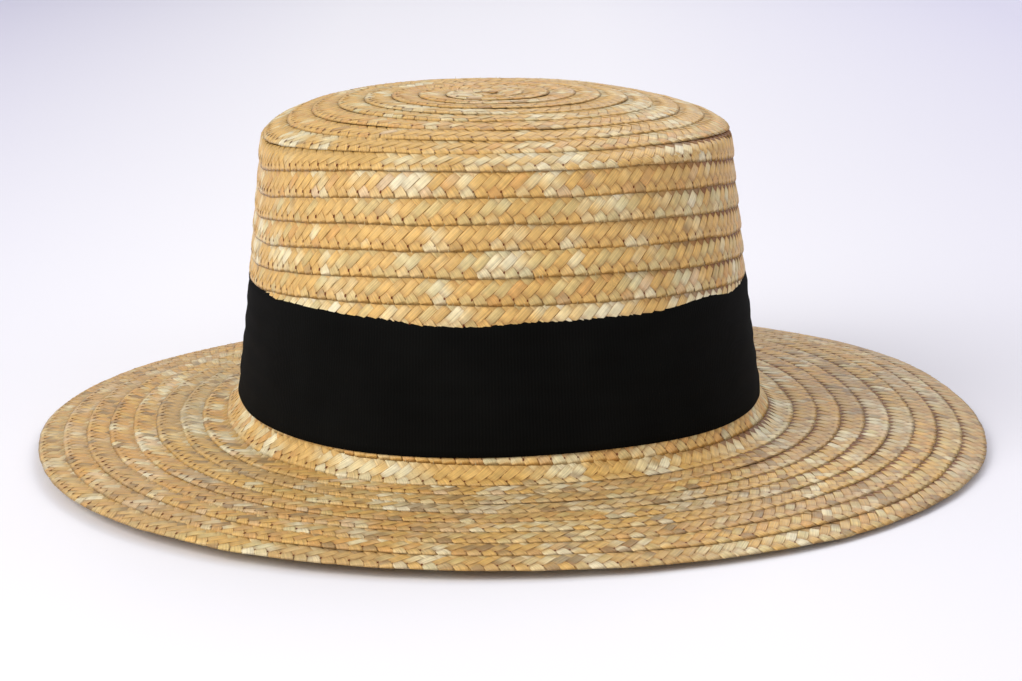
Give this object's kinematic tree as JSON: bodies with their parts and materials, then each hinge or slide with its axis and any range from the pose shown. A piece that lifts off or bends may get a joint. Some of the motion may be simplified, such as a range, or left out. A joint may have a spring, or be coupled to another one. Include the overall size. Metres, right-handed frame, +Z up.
{
  "type": "straw boater hat",
  "caption": "Oval boater hat of sewn straw braid: hollow stiff crown with a shallow domed tip, flat wide brim, and a plain dark ribbon round the foot of the crown.",
  "frame": {"origin": "under the middle of the brim's outline, on the surface that the brim rests on", "axes": "+Z up through the crown, +Y toward the back of the hat along its longer side, +X toward the wearer's left"},
  "size_m": [0.3162, 0.3416, 0.1161],
  "materials": {
    "straw": "golden wheat straw braid, satin, in overlapping rows",
    "brim_straw": "the same straw braid, a little greyer and browner",
    "ribbon": "matt black grosgrain ribbon with fine upright ribs"
  },
  "bodies": {
    "root": {"crown_tip": "straw", "crown_side": "straw", "brim": "brim_straw", "hat_band": "ribbon"}
  },
  "joints": []
}
